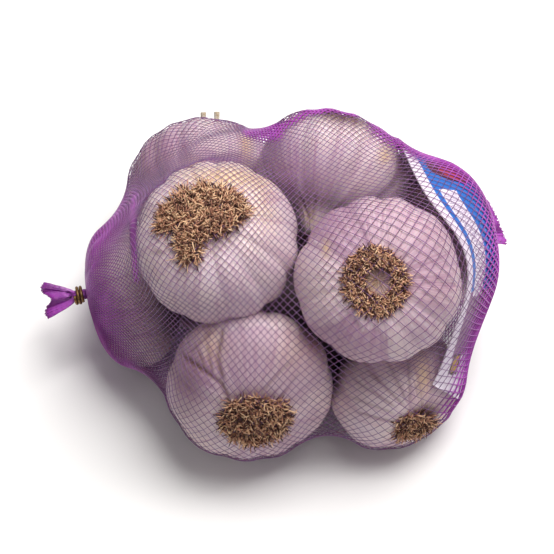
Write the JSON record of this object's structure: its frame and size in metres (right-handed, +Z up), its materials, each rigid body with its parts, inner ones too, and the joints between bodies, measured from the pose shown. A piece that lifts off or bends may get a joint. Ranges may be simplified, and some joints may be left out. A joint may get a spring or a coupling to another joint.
{
  "type": "net bag of garlic bulbs",
  "caption": "Violet mesh net bag filled with whole garlic bulbs, gathered and clipped at both ends, with a paper label inside.",
  "frame": {"origin": "on the table, below the middle of the bag's bounding box", "axes": "+X towards the right-hand clip, +Z up, -Y towards the viewer of the picture"},
  "size_m": [0.1762, 0.1417, 0.0961],
  "materials": {
    "net_bag": "violet plastic net over papery garlic skin",
    "clip": "dull tan metal",
    "label": "satin coated paper"
  },
  "bodies": {
    "root": {"net_bag": "net_bag", "clip_left": "clip", "clip_right": "clip", "label": "label"}
  },
  "joints": []
}
